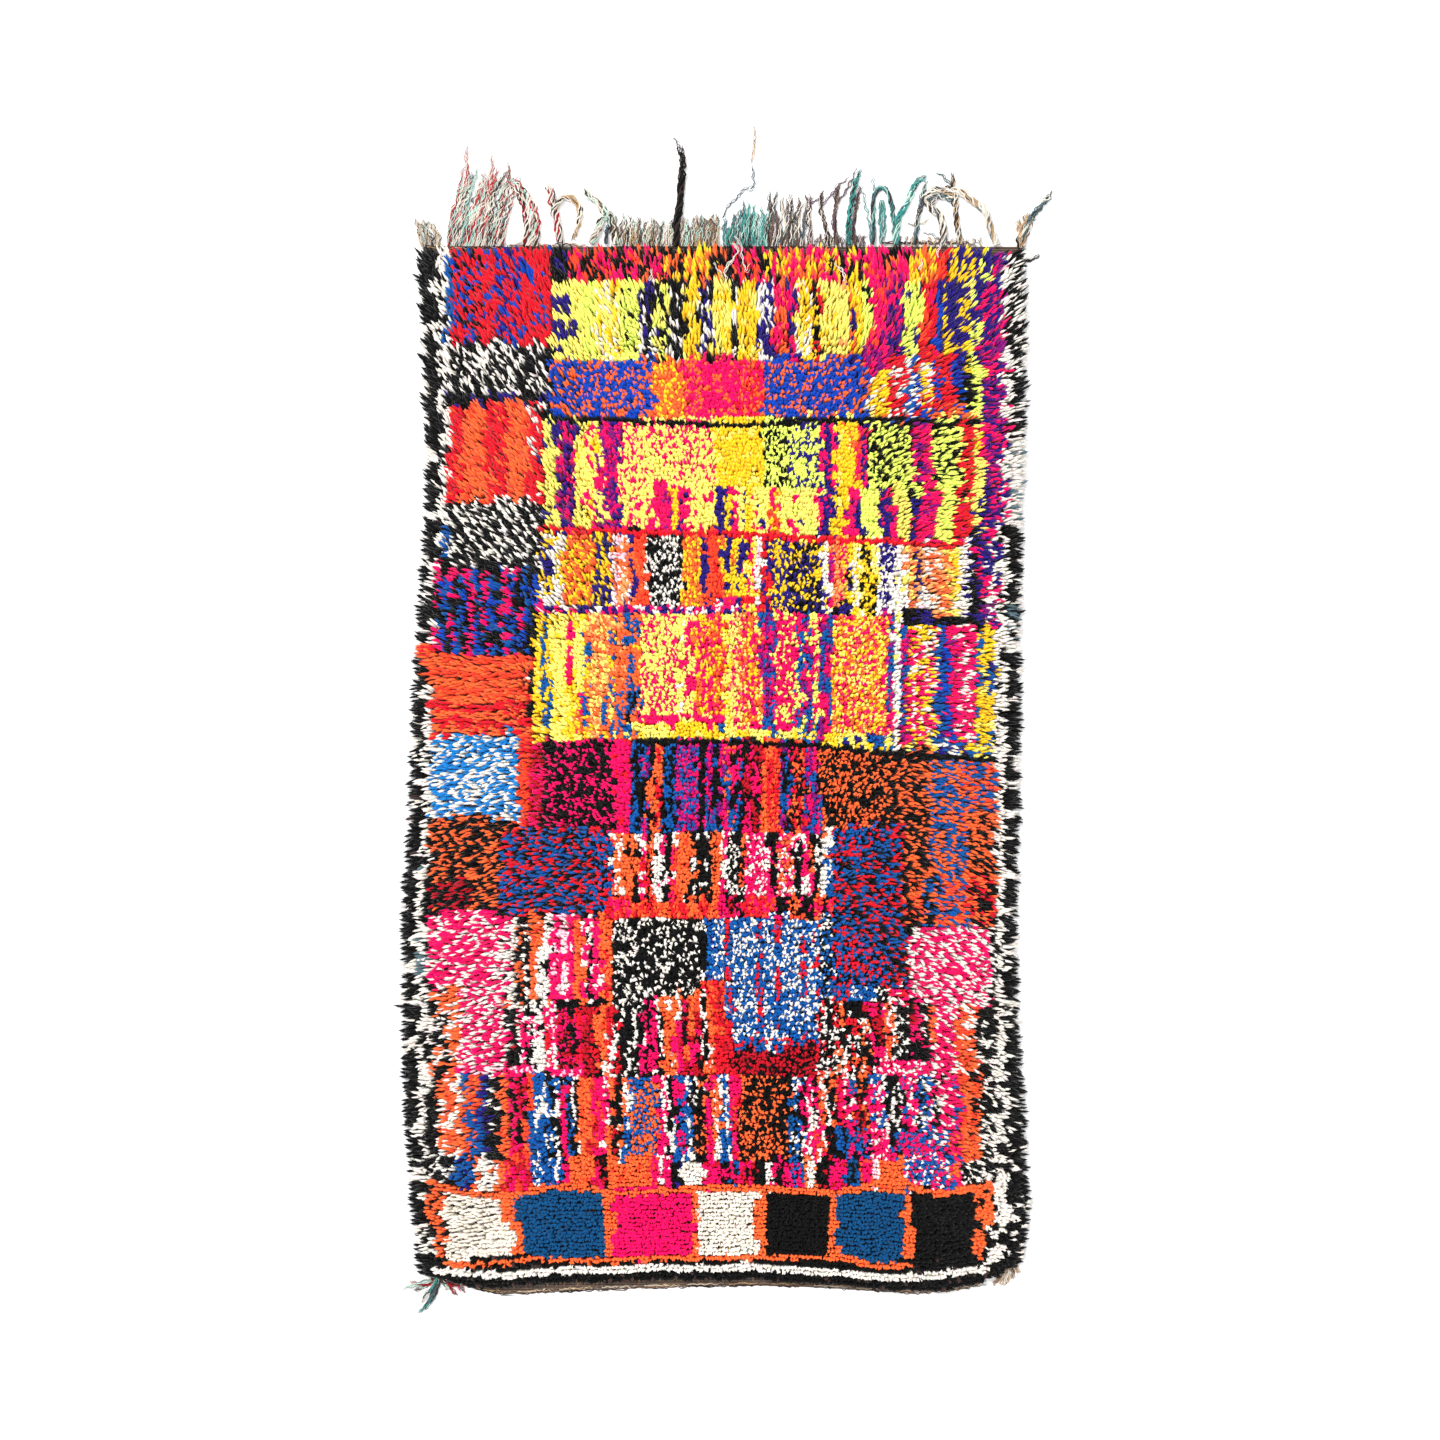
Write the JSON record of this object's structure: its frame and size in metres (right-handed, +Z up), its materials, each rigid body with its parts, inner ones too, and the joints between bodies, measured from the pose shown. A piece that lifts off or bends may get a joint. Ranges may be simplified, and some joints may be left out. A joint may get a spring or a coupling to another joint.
{
  "type": "knotted shag rug",
  "caption": "Hand-knotted patchwork shag rug that lies flat on a floor, with loose warp ends along its upper edge.",
  "frame": {"origin": "middle of the whole outline, loose ends included, on the floor that the rug lies on", "axes": "+X across the rug, +Y up its length towards the edge with the long loose ends, +Z up out of the pile"},
  "size_m": [1.5054, 2.7618, 0.028],
  "materials": {
    "wool_pile": "matt wool and rag pile in many colours",
    "warp_yarn": "matt twisted wool yarn"
  },
  "bodies": {
    "root": {"pile_rug": "wool_pile", "top_warp_ends": "warp_yarn", "lower_left_warp_ends": "warp_yarn", "lower_right_warp_ends": "warp_yarn"}
  },
  "joints": []
}
